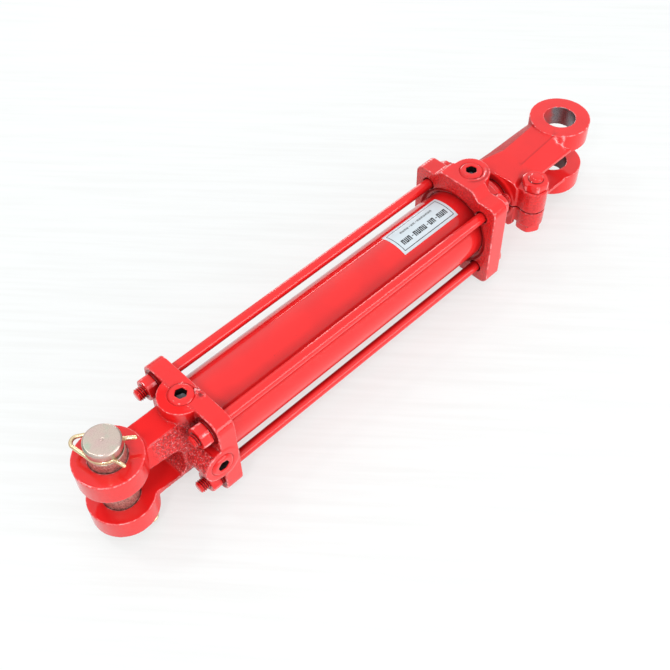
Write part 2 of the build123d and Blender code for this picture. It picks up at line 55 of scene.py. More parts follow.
def box_mm(node):
    """A CAD node's box in millimetres, as two arrays."""
    low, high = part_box(node)
    return np.array(low) / MM, np.array(high) / MM


# ---- mesh helpers
def new_object(name, vertices, faces, smooth_angle=35.0):
    """Object from points in millimetres, shaded smooth except along sharp edges."""
    mesh = bpy.data.meshes.new(name)
    mesh.from_pydata([tuple(p) for p in np.asarray(vertices) * MM], [], faces)
    mesh.validate()
    obj = bpy.data.objects.new(name, mesh)
    bpy.context.scene.collection.objects.link(obj)
    tidy_normals(obj, smooth_angle)
    return obj


def tidy_normals(obj, smooth_angle):
    """Makes every face look outwards, and shades the mesh smooth up to an angle."""
    work = bmesh.new()
    work.from_mesh(obj.data)
    bmesh.ops.recalc_face_normals(work, faces=work.faces)
    work.to_mesh(obj.data)
    work.free()
    obj.data.shade_smooth()
    obj.data.set_sharp_from_angle(angle=math.radians(smooth_angle))


def ring_faces(rings, closed=False):
    """Faces between neighbouring rings of points; a ring of one point is a pole."""
    faces = []
    starts = np.cumsum([0] + [len(ring) for ring in rings])
    pairs = list(zip(range(len(rings)), range(1, len(rings))))
    if closed:
        pairs.append((len(rings) - 1, 0))
    for a, b in pairs:
        count_a, count_b = len(rings[a]), len(rings[b])
        count = max(count_a, count_b)
        for i in range(count):
            j = (i + 1) % count
            corners = [starts[a] + i % count_a, starts[a] + j % count_a]
            corners += [starts[b] + j % count_b, starts[b] + i % count_b]
            unique = list(dict.fromkeys(int(c) for c in corners))
            if len(unique) > 2:
                faces.append(unique)
    return faces


def ring_object(name, rings, matrix=None, closed=False, smooth_angle=35.0):
    """Closed mesh skinned over rings; points are (x, y, z) in millimetres about local +Z."""
    points = np.vstack(rings)
    if matrix is not None:
        points = points @ np.array(matrix.to_3x3()).T + np.array(matrix.translation)
    return new_object(name, points, ring_faces(rings, closed), smooth_angle)


def circle(radius, height, steps):
    """Ring of points about local Z; a radius of zero gives a pole."""
    if np.isscalar(radius) and radius < 1e-6:
        return np.array([[0.0, 0.0, float(height)]])
    angles = np.arange(steps) * TURN / steps
    radii = np.broadcast_to(radius, angles.shape)
    heights = np.broadcast_to(height, angles.shape)
    return np.column_stack([radii * np.cos(angles), radii * np.sin(angles), heights])


def hex_radii(across_flats, steps, corner_cut):
    """Distance from the centre to a hexagon's edge at evenly spaced angles, with its corners cut back."""
    angles = np.arange(steps) * TURN / steps
    off_flat = (angles + TURN / 12) % (TURN / 6) - TURN / 12
    radii = across_flats / 2 / np.cos(off_flat)
    return np.minimum(radii, across_flats / math.sqrt(3) - corner_cut)


def rounded(points, radius, steps=4):
    """Outline of (radius, height) corners with each inner corner turned into a small arc."""
    points = [Vector(p[:2]) for p in points]
    outline = [tuple(points[0])]
    for before, corner, after in zip(points, points[1:], points[2:]):
        to_before = (before - corner)
        to_after = (after - corner)
        reach = min(radius, to_before.length * 0.45, to_after.length * 0.45)
        start = corner + to_before.normalized() * reach
        end = corner + to_after.normalized() * reach
        for step in range(steps + 1):
            t = step / steps
            curve = start * (1 - t) ** 2 + corner * 2 * t * (1 - t) + end * t * t
            outline.append(tuple(curve))
    outline.append(tuple(points[-1]))
    return outline


def lathe(name, profile, steps=96, matrix=None, smooth_angle=35.0):
    """Solid of revolution about local Z from (radius, height) points that start and end on the axis."""
    return ring_object(name, [circle(r, h, steps) for r, h in profile], matrix, smooth_angle=smooth_angle)


def lathe_ring(name, profile, steps=96, matrix=None):
    """Ring of revolution about local Z from a closed (radius, height) outline off the axis."""
    return ring_object(name, [circle(r, h, steps) for r, h in profile], matrix, closed=True)


ALONG_X = Matrix.Rotation(math.radians(90), 4, "Y")


def on_x(x=0.0, y=0.0, z=0.0, turn=0.0):
    """Matrix that lays a local +Z part along +X at a place in millimetres."""
    return Matrix.Translation((x, y, z)) @ ALONG_X @ Matrix.Rotation(math.radians(turn), 4, "Z")


def on_z(x=0.0, y=0.0, z=0.0, turn=0.0):
    """Matrix that stands a local +Z part upright at a place in millimetres."""
    return Matrix.Translation((x, y, z)) @ Matrix.Rotation(math.radians(turn), 4, "Z")


def attribute(obj, name, values):
    """Stores one number per vertex for a material to read."""
    layer = obj.data.attributes.get(name) or obj.data.attributes.new(name, "FLOAT", "POINT")
    layer.data.foreach_set("value", np.asarray(values, np.float32))


def stored(obj, name):
    """The numbers that attribute() stored."""
    values = np.zeros(len(obj.data.vertices), np.float32)
    obj.data.attributes[name].data.foreach_get("value", values)
    return values.astype(float)


def coordinates(obj):
    """Vertex positions in millimetres."""
    flat = np.zeros(len(obj.data.vertices) * 3, np.float32)
    obj.data.vertices.foreach_get("co", flat)
    return flat.reshape(-1, 3).astype(float) / MM


def set_coordinates(obj, points):
    """Moves the vertices to places in millimetres."""
    obj.data.vertices.foreach_set("co", (points * MM).astype(np.float32).ravel())
    obj.data.update()


def vertex_normals(obj):
    flat = np.zeros(len(obj.data.vertices) * 3, np.float32)
    obj.data.vertex_normals.foreach_get("vector", flat)
    return flat.reshape(-1, 3).astype(float)


def smoothstep(low, high, value):
    t = np.clip((value - low) / (high - low), 0, 1)
    return t * t * (3 - 2 * t)


def lumps(points, size, seed):
    """Smooth random field in -1..1 whose lumps are about size millimetres across."""
    side = 64
    table = np.random.default_rng(seed).uniform(-1, 1, (side, side, side))
    scaled = points / size
    cell = np.floor(scaled).astype(int)
    part = scaled - cell
    part = part * part * (3 - 2 * part)
    total = np.zeros(len(points))
    for corner in np.ndindex(2, 2, 2):
        index = (cell + corner) % side
        weight = np.prod(np.where(corner, part, 1 - part), axis=1)
        total += weight * table[index[:, 0], index[:, 1], index[:, 2]]
    return total


# ---- materials
class Nodes:
    """Short way to build a node tree: each call adds a node and links its inputs."""

    def __init__(self, name):
        self.material = bpy.data.materials.new(name)
        self.material.use_nodes = True
        self.tree = self.material.node_tree
        self.tree.nodes.clear()
        self.output = self.tree.nodes.new("ShaderNodeOutputMaterial")

    def add(self, kind, inputs=None, **settings):
        node = self.tree.nodes.new("ShaderNode" + kind)
        for key, value in settings.items():
            setattr(node, key, value)
        for key, value in (inputs or {}).items():
            self.feed(node.inputs[key], value)
        return node

    def feed(self, socket, value):
        if isinstance(value, bpy.types.NodeSocket):
            self.tree.links.new(value, socket)
        elif isinstance(value, tuple) and socket.type == "RGBA" and len(value) == 3:
            socket.default_value = (*value, 1.0)
        else:
            socket.default_value = value

    def position(self):
        """Place on the part, in millimetres, which turns with the part."""
        coords = self.add("TexCoord").outputs["Object"]
        return self.add("VectorMath", {0: coords, "Scale": 1 / MM}, operation="SCALE").outputs[0]

    def noise(self, size, detail=3.0, roughness=0.5, vector=None):
        """Noise whose features are about size millimetres across."""
        inputs = {"Scale": 1 / size, "Detail": detail, "Roughness": roughness}
        inputs["Vector"] = vector or self.position()
        return self.add("TexNoise", inputs).outputs["Fac"]

    def ramp(self, value, low, high, out_low=0.0, out_high=1.0):
        node = self.add(
            "MapRange",
            {"Value": value, "From Min": low, "From Max": high, "To Min": out_low, "To Max": out_high},
            interpolation_type="SMOOTHSTEP",
        )
        return node.outputs["Result"]

    def mix(self, factor, a, b):
        node = self.add("Mix", data_type="RGBA")
        self.feed(node.inputs[0], factor)
        self.feed(node.inputs[6], a)
        self.feed(node.inputs[7], b)
        return node.outputs[2]

    def math(self, operation, a, b=0.0):
        node = self.add("Math", {0: a, 1: b}, operation=operation)
        return node.outputs[0]

    def bump(self, height, distance, normal=None):
        """Bump whose full height is distance millimetres."""
        inputs = {"Height": height, "Distance": distance * MM, "Strength": 1.0}
        if normal is not None:
            inputs["Normal"] = normal
        return self.add("Bump", inputs).outputs["Normal"]

    def surface(self, **inputs):
        shader = self.add("BsdfPrincipled", {k.replace("_", " "): v for k, v in inputs.items()})
        self.tree.links.new(shader.outputs[0], self.output.inputs["Surface"])
        return self.material


def red_paint(name, grain, gap_shade_reach, painted_shade_factor=1.0):
    """Gloss enamel with painted shade in gaps up to the reach argument wide and in wider recesses; grain is
    how much cast skin shows.

    It reads four numbers per vertex: rough (cast skin), rim (painted highlight on outward edges), groove
    (painted shade in thread roots, hollows and sheltered faces) and matt.
    """
    n = Nodes(name)
    rough_place, rim, groove, matt = (
        n.add("Attribute", attribute_name=key).outputs["Fac"] for key in ("rough", "rim", "groove", "matt")
    )
    # The shade factor scales the whole colour down, giving a darker copy of the enamel as painted shade.
    bright = tuple(painted_shade_factor * c for c in (0.76, 0.0105, 0.0105))
    deep = tuple(painted_shade_factor * c for c in (0.70, 0.009, 0.010))
    colour = n.mix(n.ramp(n.noise(28.0, 2.0), 0.35, 0.7), bright, deep)
    sand = n.noise(1.5, 3.0, 0.55)
    # Painted shade in the cast skin's low pits, where its bump is lowest.
    pits = n.math("MULTIPLY", n.ramp(sand, 0.38, 0.58, 1.0, 0.0), rough_place)
    colour = n.mix(n.math("MULTIPLY", pits, 0.80), colour, (0.26, 0.003, 0.005))
    # Painted glints: pale pink specks scattered over the roughest skin.
    glint_specks = n.math("MULTIPLY", n.ramp(n.noise(1.3, 3.0, 0.6), 0.56, 0.68), n.ramp(rough_place, 0.75, 1.0))
    colour = n.mix(n.math("MULTIPLY", glint_specks, 0.55), colour, (0.95, 0.40, 0.41))
    nib = n.ramp(n.noise(2.3, 2.0, 0.4), 0.74, 0.80)
    colour = n.mix(n.math("MULTIPLY", nib, 0.35), colour, (0.42, 0.004, 0.008))
    # Painted shade: ambient occlusion darkens narrow gaps, then wide recesses.
    gap_shade = n.add("AmbientOcclusion", {"Distance": mm(gap_shade_reach)}, samples=6).outputs["AO"]
    colour = n.mix(n.ramp(gap_shade, 0.15, 0.72), (0.20, 0.002, 0.004), colour)
    recess_shade = n.add("AmbientOcclusion", {"Distance": mm(22.0)}, samples=6).outputs["AO"]
    colour = n.mix(n.ramp(recess_shade, 0.08, 0.82), (0.25, 0.0025, 0.004), colour)
    # Painted shade wherever the groove number is set.
    colour = n.mix(groove, colour, (0.16, 0.002, 0.004))
    # Painted highlight along outward edges, broken up by noise.
    glint_breakup = n.ramp(n.noise(3.2, 3.0, 0.6), 0.46, 0.60, 0.12, 0.75)
    colour = n.mix(n.math("MULTIPLY", rim, glint_breakup), colour, (0.97, 0.42, 0.43))
    peel = n.bump(n.noise(2.4, 2.0), 0.0015)
    skin_height = n.math("MULTIPLY", sand, n.math("ADD", rough_place, 0.02 * grain))
    skin = n.bump(skin_height, 1.15, normal=peel)
    gloss = n.ramp(n.noise(14.0, 3.0), 0.3, 0.8, 0.03, 0.08)
    return n.surface(
        Base_Color=colour,
        Roughness=0.5,
        Specular_IOR_Level=0.10,
        Normal=skin,
        Coat_Weight=n.ramp(matt, 0.0, 1.0, 1.0, 0.15),
        Coat_Roughness=n.math("ADD", gloss, n.math("MULTIPLY", rough_place, 0.04)),
        Coat_Normal=skin,
        Coat_IOR=1.46,
    )


def yellow_zinc(name):
    """Passivated zinc plate: pale grey with green and rose tints; worn parts are rough."""
    n = Nodes(name)
    tint = n.noise(9.0, 2.0)
    green = n.mix(n.ramp(tint, 0.32, 0.55), (0.47, 0.53, 0.42), (0.60, 0.50, 0.43))
    colour = n.mix(n.ramp(n.noise(14.0, 2.0), 0.45, 0.7), green, (0.62, 0.45, 0.42))
    rough_place = n.add("Attribute", attribute_name="rough").outputs["Fac"]
    pits = n.noise(1.2, 5.0, 0.7)
    worn_colour = n.mix(n.ramp(pits, 0.35, 0.65), (0.34, 0.22, 0.19), (0.78, 0.67, 0.59))
    colour = n.mix(rough_place, colour, worn_colour)
    scratch = n.noise(0.5, 3.0)
    height = n.math("MULTIPLY", pits, n.math("ADD", rough_place, 0.05))
    normal = n.bump(height, 0.35, normal=n.bump(scratch, 0.006))
    rough = n.math("ADD", n.ramp(scratch, 0.3, 0.7, 0.24, 0.36), n.math("MULTIPLY", rough_place, 0.15))
    return n.surface(Base_Color=colour, Metallic=1.0, Roughness=rough, Normal=normal)


def bright_metal(name, colour, roughness, scratch_size=0.5, scratch_depth=0.004, stretch=(1, 1, 1)):
    """Machined or plated metal with fine directional scratches."""
    n = Nodes(name)
    stretched = n.add("VectorMath", {0: n.position(), 1: stretch}, operation="MULTIPLY").outputs[0]
    lines = n.noise(scratch_size, 4.0, 0.6, vector=stretched)
    stain = n.ramp(n.noise(12.0, 3.0), 0.35, 0.7)
    tone = n.mix(stain, colour, tuple(c * 0.82 for c in colour))
    rough = n.ramp(lines, 0.3, 0.7, roughness * 0.7, roughness * 1.3)
    return n.surface(Base_Color=tone, Metallic=1.0, Roughness=rough, Normal=n.bump(lines, scratch_depth))


def soft_polymer(name, colour, roughness):
    """Rubber or plastic with a fine moulded grain."""
    n = Nodes(name)
    grain = n.noise(0.4, 4.0, 0.6)
    tone = n.mix(n.ramp(n.noise(6.0, 3.0), 0.35, 0.7), colour, tuple(c * 0.7 for c in colour))
    rough = n.ramp(grain, 0.3, 0.7, roughness * 0.85, min(1.0, roughness * 1.1))
    return n.surface(Base_Color=tone, Roughness=rough, Normal=n.bump(grain, 0.01))


def paper_film(name, colour):
    """Sticker film: smooth, slightly glossy, with a faint mottle."""
    n = Nodes(name)
    mottle = n.noise(5.0, 4.0)
    tone = n.mix(n.ramp(mottle, 0.3, 0.7), colour, tuple(c * 0.96 for c in colour))
    return n.surface(
        Base_Color=tone,
        Roughness=n.ramp(n.noise(2.0, 3.0), 0.3, 0.7, 0.28, 0.40),
        Normal=n.bump(n.noise(1.5, 3.0), 0.006),
        Coat_Weight=0.25,
        Coat_Roughness=0.15,
    )


def floor_board(name):
    """Pale floor with faint long streaks; a little glow keeps its shadows as light as in a bright room."""
    n = Nodes(name)
    along_boards = {"Vector": n.position(), "Angle": math.radians(48)}
    turned = n.add("VectorRotate", along_boards, rotation_type="Z_AXIS").outputs[0]
    stretched = n.add("VectorMath", {0: turned, 1: (0.03, 0.6, 1.0)}, operation="MULTIPLY").outputs[0]
    streak = n.noise(4.0, 5.0, 0.6, vector=stretched)
    colour = n.mix(n.ramp(streak, 0.35, 0.7), (0.290, 0.296, 0.294), (0.280, 0.285, 0.282))
    from_middle = {0: n.position(), 1: (200.0, 0.0, 0.0)}
    away = n.add("VectorMath", from_middle, operation="DISTANCE").outputs["Value"]
    seen = n.add("LightPath").outputs["Is Camera Ray"]
    near = n.math("MAXIMUM", n.ramp(away, 450.0, 1100.0, 1.0, 0.25), seen)
    return n.surface(
        Base_Color=colour,
        Roughness=0.6,
        Specular_IOR_Level=0.2,
        Normal=n.bump(streak, 0.05),
        Emission_Color=colour,
        Emission_Strength=n.math("MULTIPLY", near, 2.10),
    )


def part_bare_bore(name):
    """Bored steel with paint that ran in over one side of the upper ear and all of the lower; the paint in
    the lower ear is coloured near black as painted shade.
    """
    n = Nodes(name)
    paint_side = {0: n.position(), 1: (0.73, -0.69, 0.0)}
    across = n.add("VectorMath", paint_side, operation="DOT_PRODUCT").outputs["Value"]
    edge = n.math("ADD", across, n.math("MULTIPLY", n.noise(5.0, 4.0, 0.6), 9.0))
    height = n.add("SeparateXYZ", {0: n.position()}).outputs["Z"]
    in_upper_ear = n.ramp(height, -5.0, 5.0)
    bare = n.math("MULTIPLY", n.ramp(edge, 335.5, 342.5), in_upper_ear)
    # The near-black paint in the lower ear is painted shade.
    paint = n.mix(in_upper_ear, (0.10, 0.004, 0.006), (0.55, 0.03, 0.03))
    stretched = n.add("VectorMath", {0: n.position(), 1: (1, 1, 6)}, operation="MULTIPLY").outputs[0]
    rings = n.noise(1.6, 4.0, 0.6, vector=stretched)
    steel = n.mix(n.ramp(rings, 0.3, 0.7), (0.11, 0.11, 0.12), (0.38, 0.38, 0.40))
    return n.surface(
        Base_Color=n.mix(bare, paint, steel),
        Metallic=bare,
        Roughness=n.ramp(rings, 0.3, 0.7, 0.32, 0.50),
        Normal=n.bump(rings, 0.03),
    )


PAINT = red_paint("gloss_red_paint", 0.3, 2.0)
CAST_PAINT = red_paint("gloss_red_paint_on_casting", 1.0, 4.0)
# A copy of the enamel darkened to three tenths, as painted shade for parts that sit down in gaps.
PAINT_DARKENED_AS_SHADE = red_paint("gloss_red_paint_darkened_as_shade", 0.3, 2.0, 0.3)
PIN_ZINC = yellow_zinc("yellow_zinc_pin")
WIRE_ZINC = bright_metal("yellow_zinc_wire", (0.86, 0.68, 0.42), 0.28, 0.8)
CHROME = bright_metal("hard_chrome", (0.86, 0.87, 0.88), 0.07, 0.35, 0.001, (8, 1, 1))
BARE_STEEL = bright_metal("machined_steel", (0.52, 0.52, 0.54), 0.30, 0.3, 0.004, (6, 1, 1))
BORE_STEEL = part_bare_bore("part_bare_bore")
# The socket's walls are near black and its floor dim grey: steel darkened as painted shade down the hole.
SOCKET_WALL_SHADE = bright_metal("socket_steel_darkened_as_shade", (0.05, 0.04, 0.04), 0.55, 0.6, 0.01)
SOCKET_FLOOR = bright_metal("bare_socket_floor", (0.16, 0.16, 0.17), 0.50, 0.6, 0.01)
PISTON_IRON = bright_metal("machined_iron", (0.33, 0.33, 0.34), 0.38, 0.3, 0.006, (6, 1, 1))
BRONZE = bright_metal("bearing_bronze", (0.72, 0.47, 0.24), 0.30, 0.3, 0.004, (6, 1, 1))
RUBBER = soft_polymer("black_rubber", (0.022, 0.022, 0.024), 0.55)
POLYURETHANE = soft_polymer("seal_polyurethane", (0.07, 0.12, 0.28), 0.40)
GUIDE_PLASTIC = soft_polymer("ptfe_and_nylon", (0.80, 0.78, 0.70), 0.45)
LABEL_WHITE = paper_film("label_film", (0.57, 0.64, 0.68))
LABEL_INK = paper_film("label_ink", (0.012, 0.016, 0.020))
LABEL_GREY_INK = paper_film("label_grey_ink", (0.16, 0.18, 0.19))


def finish_piece(obj, body, material, slot, *nodes):
    """Gives a new piece its material and body, and hides the CAD nodes it stands for."""
    obj.data.materials.clear()
    obj.data.materials.append(material)
    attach(obj, body)
    if nodes:
        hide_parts(*nodes)
    return obj


# ---- sizes read from the frame
barrel_low, barrel_high = box_mm("tube")
tube_radius = (barrel_high[2] - barrel_low[2]) / 2
pin_low, pin_high = box_mm("base_pin")
pin_radius = (pin_high[0] - pin_low[0]) / 2
rod_low, rod_high = box_mm("piston_rod")
rod_radius = (rod_high[2] - rod_low[2]) / 2
head_front_x = box_mm("head")[1][0]
clevis_rear_x = box_mm("rod_clevis")[0][0]
bolt_low, bolt_high = box_mm("clamp_bolt")
pin_to_pin = 463.55
# Centres of the clamp boss and the head's top port, and the side port's place along the base casting.
clamp_centre = (393.9, -30.6)
head_port_x = 349.0
side_port_x = 57.7

THREAD_PITCH = 25.4 / 16
THREAD_DEPTH = 0.9
PORT_NODES = {"base_top_port_plug": 2, "base_side_port_plug": 1, "head_port_plug": 2}
NUT_FLATS = 16.0
CLAMP_BOLT_RADIUS = 6.0
BOLT_HEAD_HEIGHT = 6.2
# How far along X each tie rod sits from its nominal place.
STUD_SHIFTS = {
    "tie_rod_upper_left": -1.8,
    "tie_rod_upper_right": 0.8,
    "tie_rod_lower_left": 0.0,
    "tie_rod_lower_right": -2.0,
}


# ---- castings
CAST_VOXEL = 0.6
CAST_FACES_KEPT = 0.45


def remeshed_copy(node, name):
    """Copy of a CAD casting with every corner softened, as a sand casting under paint has."""
    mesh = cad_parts[node].data.copy()
    source = bpy.data.objects.new(name + "_source", mesh)
    bpy.context.scene.collection.objects.link(source)
    remesh = source.modifiers.new("remesh", "REMESH")
    remesh.mode = "VOXEL"
    remesh.voxel_size = mm(CAST_VOXEL)
    soften = source.modifiers.new("soften", "SMOOTH")
    soften.factor = 0.5
    soften.iterations = 4
    graph = bpy.context.evaluated_depsgraph_get()
    result = bpy.data.meshes.new_from_object(source.evaluated_get(graph))
    bpy.data.objects.remove(source)
    obj = bpy.data.objects.new(name, result)
    bpy.context.scene.collection.objects.link(obj)
    return obj


def thinned(obj, ratio):
    """Fewer faces where the surface is plain."""
    modifier = obj.modifiers.new("thin", "DECIMATE")
    modifier.ratio = ratio
    graph = bpy.context.evaluated_depsgraph_get()
    mesh = bpy.data.meshes.new_from_object(obj.evaluated_get(graph))
    obj.modifiers.clear()
    obj.data = mesh
    obj.data.shade_smooth()
    return obj


def cast_skin(obj, rough, seed, extra=None):
    """Moves the surface in and out as a sand casting's skin does; rough holds a 0..1 amount per vertex."""
    points = coordinates(obj)
    normals = vertex_normals(obj)
    grain = 0.6 * lumps(points, 1.5, seed) + 0.4 * lumps(points, 3.1, seed + 1)
    wave = lumps(points, 16.0, seed + 2)
    offset = 0.26 * rough * grain + 0.10 * wave * np.clip(rough + 0.25, 0, 1)
    if extra is not None:
        offset += extra(points, normals)
    set_coordinates(obj, points + normals * offset[:, None])
    attribute(obj, "rough", rough)


def rims(obj):
    """How much each vertex lies on an outward edge, from 0 to 1."""
    points, normals = coordinates(obj), vertex_normals(obj)
    ends = np.zeros(len(obj.data.edges) * 2, np.int32)
    obj.data.edges.foreach_get("vertices", ends)
    ends = ends.reshape(-1, 2)
    links = np.maximum(1, np.bincount(ends.ravel(), minlength=len(points)))

    def neighbour_mean(values):
        total = np.zeros_like(values)
        np.add.at(total, ends[:, 0], values[ends[:, 1]])
        np.add.at(total, ends[:, 1], values[ends[:, 0]])
        return total / (links[:, None] if values.ndim > 1 else links)

    drop = ((points - neighbour_mean(points)) * normals).sum(axis=1)
    for _ in range(2):
        drop = 0.5 * drop + 0.5 * neighbour_mean(drop)
    return smoothstep(0.030, 0.065, drop)


def base_cap_roughness(points, normals):
    """Machined faces and bores are smooth; the arms' flanks, the block and the side neck are as cast."""
    x, y, z = points.T
    flank = 1 - smoothstep(0.90, 0.97, np.abs(normals[:, 2]))
    arms = smoothstep(22, 28, x) * (1 - smoothstep(58.0, 58.8, x)) * flank
    ear_side = (1 - smoothstep(22, 26, x)) * (1 - smoothstep(0.3, 0.6, np.abs(normals[:, 2]))) * 0.10
    outer = smoothstep(13.5, 15.5, np.hypot(x, y))
    side_face = smoothstep(-39.2, -38.4, y)
    port_wall = smoothstep(11.5, 12.5, np.hypot(x - side_port_x, z)) + smoothstep(-30, -27, y)
    top_boss = 1 - smoothstep(27.5, 31.5, z) * 0.85
    plate_back = smoothstep(57.5, 58.3, x) * (1 - smoothstep(59.0, 60.0, x)) * 0.35
    scar = 1.4 * base_cap_scar(points)
    rough = arms * side_face * np.clip(port_wall, 0, 1) * top_boss + plate_back + scar
    return np.clip((rough + ear_side) * outer, 0, 1)


def base_cap_scar(points):
    """Torn patch of casting skin between the top port and the flange's front edge."""
    x, y, z = points.T
    return np.exp(-(((x - 70.0) / 3.0) ** 2 + ((y + 6.5) / 5.0) ** 2)) * smoothstep(36.5, 38.0, z)


def base_cap_piece():
    """Base casting with duller paint on the arms' sheltered faces and torn skin beside the top port, with
    painted shade in the tear's hollows and painted highlights on its lumps.
    """
    piece = casting("base_cap", "barrel", base_cap_roughness, 11, base_cap_marks)
    points, normals = coordinates(piece), vertex_normals(piece)
    x, y, z = points.T
    on_arm = smoothstep(24.5, 26.0, np.hypot(x, y)) * (1 - smoothstep(56, 58, x)) * smoothstep(10, 15, z)
    under = smoothstep(10, 14, x) * (1 - smoothstep(50, 58, x)) * (1 - smoothstep(-16, -13, z))
    attribute(piece, "matt", np.clip(on_arm * smoothstep(0.9, 0.97, normals[:, 2]) + 0.8 * under, 0, 1))
    torn = lumps(points, 2.1, 15)
    scar = np.clip(1.4 * base_cap_scar(points), 0, 1)
    # Painted shade in the torn patch's hollows and painted highlights on its raised lumps.
    attribute(piece, "groove", 0.8 * scar * smoothstep(0.05, 0.30, -torn))
    attribute(piece, "rim", np.maximum(stored(piece, "rim"), 1.2 * scar * smoothstep(0.15, 0.40, torn)))


def base_cap_marks(points, normals):
    """Bumps of the torn patch."""
    return 1.5 * base_cap_scar(points) * lumps(points, 2.1, 15)


def head_roughness(points, normals):
    """The face towards the barrel is as cast, the rest is nearly smooth."""
    x = points[:, 0]
    on_face = smoothstep(330.0, 331.0, x) * (1 - smoothstep(333.0, 334.5, x))
    face = smoothstep(0.75, 0.92, -normals[:, 0]) * on_face
    rim = smoothstep(31.0, 32.5, np.hypot(points[:, 1], points[:, 2]))
    return np.clip(0.62 * face * rim + 0.04, 0, 1)


def head_ridge(points, radius, width):
    """Curved band on the port boss, round one side of the plug."""
    x, y, z = points.T
    angle = np.degrees(np.arctan2(y, x - head_port_x))
    span = smoothstep(-158, -128, angle) * (1 - smoothstep(-48, -22, angle))
    away = (np.hypot(x - head_port_x, y) - radius) / width
    return np.exp(-(away ** 2)) * span * smoothstep(45.5, 46.2, z)


def head_marks(points, normals):
    """Raised burr along the band."""
    return head_ridge(points, 11.2, 0.8) * (0.9 + 0.5 * lumps(points, 2.6, 25))


def head_piece():
    """Head casting whose burr has a painted highlight on top and painted shade at its foot."""
    piece = casting("head", "barrel", head_roughness, 21, head_marks)
    points = coordinates(piece)
    # Painted highlight along the burr's top and painted shade along its foot.
    attribute(piece, "rim", np.maximum(stored(piece, "rim"), 1.2 * head_ridge(points, 11.0, 0.6)))
    attribute(piece, "groove", 0.6 * head_ridge(points, 12.6, 0.7))


def clevis_roughness(points, normals):
    """Nearly smooth, with a light skin on the clamp boss and the flanks."""
    x, y, _ = points.T
    boss = 1 - smoothstep(11.4, 12.2, np.hypot(x - clamp_centre[0], y - clamp_centre[1]))
    upright = 1 - smoothstep(0.85, 0.95, np.abs(normals[:, 2]))
    flank = smoothstep(384, 390, x) * upright * smoothstep(-5, 5, y)
    side = 1 - smoothstep(0.5, 0.8, np.abs(normals[:, 2]))
    bore = smoothstep(13.4, 14.4, np.hypot(x - pin_to_pin, y))
    return np.clip(np.maximum(0.45 * boss * side, 0.22 * flank), 0, 1) * bore


def casting(node, body, roughness, seed, marks=None):
    """Painted sand casting in place of a CAD node."""
    obj = remeshed_copy(node, node + "_casting")
    rough = roughness(coordinates(obj), vertex_normals(obj))
    # Painted highlight along every outward edge.
    attribute(obj, "rim", rims(obj))
    cast_skin(obj, rough, seed, marks)
    thinned(obj, CAST_FACES_KEPT)
    return finish_piece(obj, body, CAST_PAINT, "red_cast", node)


def rod_clevis_piece():
    """Clevis with a duller far flank under painted shade, painted shade along the near ridge's valley,
    painted highlights where that ridge meets the ear, and a pin hole that is part bare.
    """
    piece = casting("rod_clevis", "rod", clevis_roughness, 31)
    points, normals = coordinates(piece), vertex_normals(piece)
    x, y, z = points.T
    on_flank = 1 - smoothstep(0.86, 0.95, np.abs(normals[:, 2]))
    far_flank = smoothstep(383, 388, x) * smoothstep(6, 9, y) * on_flank * (1 - smoothstep(446, 450, x))
    attribute(piece, "matt", far_flank)
    upper = smoothstep(15, 18, z)
    along_ridge = smoothstep(398, 404, x) * (1 - smoothstep(443, 446, x))
    # Painted shade over the far flank and in a thin line along the near ridge's valley.
    valley_shade = np.exp(-(((y + 10.2) / 0.7) ** 2)) * along_ridge * upper
    attribute(piece, "groove", np.clip(0.45 * far_flank + 0.40 * valley_shade, 0, 1))
    rim = stored(piece, "rim")
    # Two painted highlights where the near ridge meets the ear.
    for glint_y, reach in ((-13.5, 1.5), (-18.5, 1.9)):
        glint_x = pin_to_pin - math.sqrt(25.6 ** 2 - glint_y ** 2)
        away = ((x - glint_x) / 0.9) ** 2 + ((y - glint_y) / reach) ** 2
        rim = np.maximum(rim, 1.3 * np.exp(-away) * upper)
    attribute(piece, "rim", rim)
    piece.data.materials.append(BORE_STEEL)
    for polygon in piece.data.polygons:
        place = Vector(polygon.center) / MM
        if math.hypot(place.x - pin_to_pin, place.y) < 13.6 and abs(polygon.normal.z) < 0.5:
            polygon.material_index = 1


# ---- threads, rods and nuts
def thread_ring_radii(height, start, major, steps):
    """Radii round one ring of a right-hand thread at a height along the screw."""
    angles = np.arange(steps) * TURN / steps
    phase = ((height - start) / THREAD_PITCH - angles / TURN) % 1.0
    flank = np.abs(phase * 2 - 1)
    profile = np.clip((flank - 0.12) / 0.76, 0, 1)
    return major - THREAD_DEPTH * profile


def threaded_bar(name, length, shank_radius, major, thread_lengths, matrix):
    """Bar along local Z with a thread at one or both ends, and chamfered tips."""
    first, last = thread_lengths
    tip, steps = 1.2, 64
    pitch_step = THREAD_PITCH / 9
    heights = [*np.arange(0, first, pitch_step), *np.linspace(first, length - last, 9)]
    heights += [*np.arange(length - last, length, pitch_step), length]
    rings = [circle(0, 0, steps)]
    for height in sorted(set(round(h, 5) for h in heights)):
        near_start = height < first - 0.5
        if near_start or height > length - last + 0.5:
            radii = thread_ring_radii(height, 0 if near_start else length, major, steps)
        else:
            radii = np.full(steps, shank_radius)
        end_distance = min(height if first else tip, length - height if last else tip)
        limit = major - tip + min(end_distance, tip)
        rings.append(circle(np.minimum(radii, limit), height, steps))
    rings.append(circle(0, length, steps))
    bar = ring_object(name, rings, matrix, smooth_angle=50)
    across_x, across_y, along = np.vstack(rings).T
    in_first = (along > tip) & (along < first - 0.5)
    in_last = (along > length - last + 0.5) & (along < length - tip)
    depth = (major - np.hypot(across_x, across_y)) / THREAD_DEPTH
    # Painted shade in the thread roots.
    attribute(bar, "groove", 0.85 * (in_first | in_last) * smoothstep(0.25, 0.85, depth))
    return bar


HEX_STEPS = 72


def turned_hexagon(across_flats):
    """Radii round a hexagon, the radius of its turned face, and each radius's drop below that face."""
    hexagon = hex_radii(across_flats, HEX_STEPS, 0.35)
    face_radius = across_flats / 2 * 0.96
    return hexagon, face_radius, np.maximum(0, (hexagon - face_radius) * math.tan(math.radians(30)))


